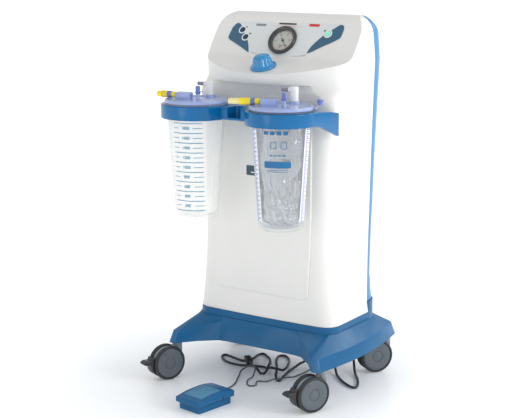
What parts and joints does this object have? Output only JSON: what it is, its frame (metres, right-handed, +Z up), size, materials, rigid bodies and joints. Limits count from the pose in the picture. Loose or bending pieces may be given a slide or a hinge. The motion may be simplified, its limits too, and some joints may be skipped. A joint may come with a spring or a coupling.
{
  "type": "suction pump",
  "caption": "Floor-standing medical suction pump: waisted cover on a castor base, sloping console with gauge and knob, two clear jars in a bracket, foot switch and cords.",
  "frame": {"origin": "on the floor, under the middle of the whole assembly's bounding box, foot switch and cord included", "axes": "+Z up, -Y towards the front where the jars hang, +X to the right seen from the front"},
  "size_m": [0.4745, 0.5435, 0.8415],
  "materials": {
    "white_cover": "satin white",
    "blue_moulding": "fine-grained mid blue",
    "gloss_blue": "polished blue",
    "overlay": "light grey film",
    "navy_button": "dark blue",
    "green_button": "pale green",
    "dark_plastic": "black",
    "wheel_grey": "mid grey",
    "tyre": "black rubber",
    "steel": "bright steel",
    "aluminium": "cast, satin",
    "dial": "off-white printed dial",
    "clear": "clear polycarbonate",
    "film": "clear film",
    "lid": "periwinkle",
    "yellow": "yellow",
    "ivory": "white",
    "board": "green circuit board",
    "cord": "dark grey rubber"
  },
  "bodies": {
    "trolley": {"trolley_base": "blue_moulding", "chassis_plate": "steel", "front_cover": "white_cover", "rear_cover": "blue_moulding", "jar_bracket": "gloss_blue", "fascia_overlay": "overlay", "control_board": "board", "gauge_case": "dark_plastic", "gauge_dial": "dial", "gauge_lens": "clear", "regulator_body": "aluminium", "pump_body": "aluminium", "pump_head_left": "aluminium", "pump_head_right": "aluminium", "main_hose": "cord", "power_cord": "cord", "footswitch_base": "blue_moulding", "footswitch_pin": "steel", "footswitch_cord": "cord"},
    "power_button": {"power_button": "green_button"},
    "range_button_upper": {"range_button_upper": "navy_button"},
    "range_button_lower": {"range_button_lower": "navy_button"},
    "gauge_needle": {"gauge_needle": "dark_plastic"},
    "regulator": {"regulator_spindle": "steel", "regulator_knob": "gloss_blue"},
    "jar_left": {"jar_left": "clear"},
    "lid_left": {"lid_left": "lid", "liner_left": "film", "patient_connector_left": "yellow", "vacuum_elbow_left": "ivory", "hose_barb_left": "dark_plastic"},
    "port_cap_left": {"port_cap_left": "lid"},
    "jar_right": {"jar_right": "clear"},
    "lid_right": {"lid_right": "lid", "liner_right": "film", "patient_connector_right": "yellow", "vacuum_elbow_right": "ivory", "hose_barb_right": "dark_plastic", "spare_cap_right": "lid"},
    "port_cap_right": {"port_cap_right": "lid"},
    "castor_front_left": {"castor_housing_front_left": "wheel_grey", "castor_axle_front_left": "steel"},
    "wheel_outer_front_left": {"wheel_outer_front_left": "tyre"},
    "wheel_inner_front_left": {"wheel_inner_front_left": "tyre"},
    "brake_pedal_front_left": {"brake_pedal_front_left": "dark_plastic"},
    "castor_front_right": {"castor_housing_front_right": "wheel_grey", "castor_axle_front_right": "steel"},
    "wheel_outer_front_right": {"wheel_outer_front_right": "tyre"},
    "wheel_inner_front_right": {"wheel_inner_front_right": "tyre"},
    "brake_pedal_front_right": {"brake_pedal_front_right": "dark_plastic"},
    "castor_rear_right": {"castor_housing_rear_right": "wheel_grey", "castor_axle_rear_right": "steel"},
    "wheel_outer_rear_right": {"wheel_outer_rear_right": "tyre"},
    "wheel_inner_rear_right": {"wheel_inner_rear_right": "tyre"},
    "castor_rear_left": {"castor_housing_rear_left": "wheel_grey", "castor_axle_rear_left": "steel"},
    "wheel_outer_rear_left": {"wheel_outer_rear_left": "tyre"},
    "wheel_inner_rear_left": {"wheel_inner_rear_left": "tyre"},
    "cooling_fan": {"cooling_fan": "dark_plastic"},
    "footswitch_pedal": {"footswitch_pedal": "blue_moulding"}
  },
  "joints": [
    {"name": "power_button_press", "type": "slide", "parent": "trolley", "child": "power_button", "axis": [0, 0.8182, -0.5749], "range_m": [0, 0.0012]},
    {"name": "range_button_upper_press", "type": "slide", "parent": "trolley", "child": "range_button_upper", "axis": [0, 0.8182, -0.5749], "range_m": [0, 0.0012]},
    {"name": "range_button_lower_press", "type": "slide", "parent": "trolley", "child": "range_button_lower", "axis": [0, 0.8182, -0.5749], "range_m": [0, 0.0012]},
    {"name": "needle_swing", "type": "hinge", "parent": "trolley", "child": "gauge_needle", "pos_m": [0.0133, 0.05859, 0.781], "axis": [0, -0.8182, 0.5749], "range_deg": [0, 270]},
    {"name": "regulator_turn", "type": "hinge", "parent": "trolley", "child": "regulator", "pos_m": [0.0133, -0.0213, 0.72854], "axis": [0, -0.3131, 0.9497], "range_deg": [-360, 360]},
    {"name": "jar_left_lift", "type": "slide", "parent": "trolley", "child": "jar_left", "axis": [0, 0, 1], "range_m": [0, 0.27]},
    {"name": "lid_left_lift", "type": "slide", "parent": "jar_left", "child": "lid_left", "axis": [0, 0, 1], "range_m": [0, 0.26]},
    {"name": "port_cap_left_lift", "type": "slide", "parent": "lid_left", "child": "port_cap_left", "axis": [0, 0, 1], "range_m": [0, 0.012]},
    {"name": "jar_right_lift", "type": "slide", "parent": "trolley", "child": "jar_right", "axis": [0, 0, 1], "range_m": [0, 0.27]},
    {"name": "lid_right_lift", "type": "slide", "parent": "jar_right", "child": "lid_right", "axis": [0, 0, 1], "range_m": [0, 0.26]},
    {"name": "port_cap_right_lift", "type": "slide", "parent": "lid_right", "child": "port_cap_right", "axis": [0, 0, 1], "range_m": [0, 0.012]},
    {"name": "castor_front_left_swivel", "type": "hinge", "parent": "trolley", "child": "castor_front_left", "pos_m": [-0.1827, -0.0883, 0.088], "axis": [0, 0, 1], "continuous": true},
    {"name": "wheel_outer_front_left_roll", "type": "hinge", "parent": "castor_front_left", "child": "wheel_outer_front_left", "pos_m": [-0.19356, -0.11519, 0.04], "axis": [0.9272, -0.3746, 0], "continuous": true},
    {"name": "wheel_inner_front_left_roll", "type": "hinge", "parent": "castor_front_left", "child": "wheel_inner_front_left", "pos_m": [-0.19356, -0.11519, 0.04], "axis": [0.9272, -0.3746, 0], "continuous": true},
    {"name": "brake_front_left", "type": "hinge", "parent": "castor_front_left", "child": "brake_pedal_front_left", "pos_m": [-0.20986, -0.15552, 0.058], "axis": [-0.9272, 0.3746, 0], "range_deg": [0, 14]},
    {"name": "castor_front_right_swivel", "type": "hinge", "parent": "trolley", "child": "castor_front_right", "pos_m": [0.2093, -0.0883, 0.088], "axis": [0, 0, 1], "continuous": true},
    {"name": "wheel_outer_front_right_roll", "type": "hinge", "parent": "castor_front_right", "child": "wheel_outer_front_right", "pos_m": [0.19659, -0.11436, 0.04], "axis": [0.8988, -0.4384, 0], "continuous": true},
    {"name": "wheel_inner_front_right_roll", "type": "hinge", "parent": "castor_front_right", "child": "wheel_inner_front_right", "pos_m": [0.19659, -0.11436, 0.04], "axis": [0.8988, -0.4384, 0], "continuous": true},
    {"name": "brake_front_right", "type": "hinge", "parent": "castor_front_right", "child": "brake_pedal_front_right", "pos_m": [0.17752, -0.15346, 0.058], "axis": [-0.8988, 0.4384, 0], "range_deg": [0, 14]},
    {"name": "castor_rear_right_swivel", "type": "hinge", "parent": "trolley", "child": "castor_rear_right", "pos_m": [0.2013, 0.2217, 0.088], "axis": [0, 0, 1], "continuous": true},
    {"name": "wheel_outer_rear_right_roll", "type": "hinge", "parent": "castor_rear_right", "child": "wheel_outer_rear_right", "pos_m": [0.18425, 0.19824, 0.04], "axis": [0.809, -0.5878, 0], "continuous": true},
    {"name": "wheel_inner_rear_right_roll", "type": "hinge", "parent": "castor_rear_right", "child": "wheel_inner_rear_right", "pos_m": [0.18425, 0.19824, 0.04], "axis": [0.809, -0.5878, 0], "continuous": true},
    {"name": "castor_rear_left_swivel", "type": "hinge", "parent": "trolley", "child": "castor_rear_left", "pos_m": [-0.1747, 0.2217, 0.088], "axis": [0, 0, 1], "continuous": true},
    {"name": "wheel_outer_rear_left_roll", "type": "hinge", "parent": "castor_rear_left", "child": "wheel_outer_rear_left", "pos_m": [-0.19692, 0.20306, 0.04], "axis": [0.6428, -0.766, 0], "continuous": true},
    {"name": "wheel_inner_rear_left_roll", "type": "hinge", "parent": "castor_rear_left", "child": "wheel_inner_rear_left", "pos_m": [-0.19692, 0.20306, 0.04], "axis": [0.6428, -0.766, 0], "continuous": true},
    {"name": "fan_spin", "type": "hinge", "parent": "trolley", "child": "cooling_fan", "pos_m": [0.0891, 0.0797, 0.2006], "axis": [1, 0, 0], "continuous": true},
    {"name": "footswitch_press", "type": "hinge", "parent": "trolley", "child": "footswitch_pedal", "pos_m": [-0.0094, -0.19357, 0.0205], "axis": [0.9863, -0.165, 0], "range_deg": [0, 4]}
  ]
}
